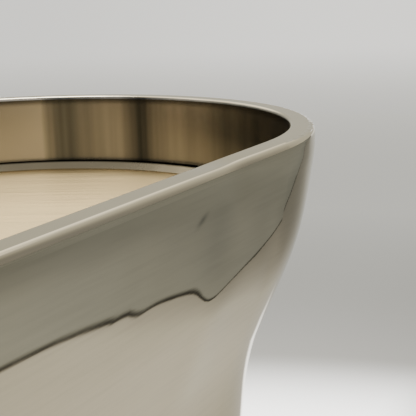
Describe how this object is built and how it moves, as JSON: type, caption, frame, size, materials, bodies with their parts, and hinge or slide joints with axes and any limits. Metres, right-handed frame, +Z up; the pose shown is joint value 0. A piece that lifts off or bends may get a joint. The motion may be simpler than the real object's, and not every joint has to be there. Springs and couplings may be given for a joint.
{
  "type": "champagne bucket stand",
  "caption": "Oval pedestal stand of polished nickel-plated shells: a thick-rimmed flared head holds a lift-out brushed seat for a champagne bucket, over a waisted column and spread foot.",
  "frame": {"origin": "on the floor, under the middle of the stand", "axes": "+Z up, X along the oval plan, Y across it"},
  "size_m": [0.396, 0.236, 0.62],
  "materials": {
    "polished_nickel": "polished and nickel plated cast aluminium",
    "joint_aluminium": "turned",
    "brushed_plate": "brushed in straight lines slantwise to the long axis",
    "trim_nickel": "polished",
    "black_rubber": "matt",
    "zinc_steel": "zinc plated",
    "black_paint": "satin black",
    "grey_iron": "rough cast"
  },
  "bodies": {
    "stand": {"ballast": "grey_iron", "ballast_screws": "zinc_steel", "base_plate": "black_paint", "bottom_nut": "zinc_steel", "bottom_washer": "zinc_steel", "bridge_screws": "zinc_steel", "column_shell": "polished_nickel", "foot_casting": "polished_nickel", "head_bridge": "zinc_steel", "head_casting": "polished_nickel", "lower_joint_ring": "joint_aluminium", "rubber_feet": "black_rubber", "rubber_screws": "zinc_steel", "seat_cushions": "black_rubber", "tie_rod": "zinc_steel", "top_nut": "zinc_steel", "top_washer": "zinc_steel", "upper_joint_ring": "joint_aluminium"},
    "seat": {"seat_plate": "brushed_plate", "seat_trim": "trim_nickel"}
  },
  "joints": [
    {"name": "seat_lift", "type": "slide", "parent": "stand", "child": "seat", "axis": [0, 0, 1], "range_m": [0, 0.08]}
  ]
}
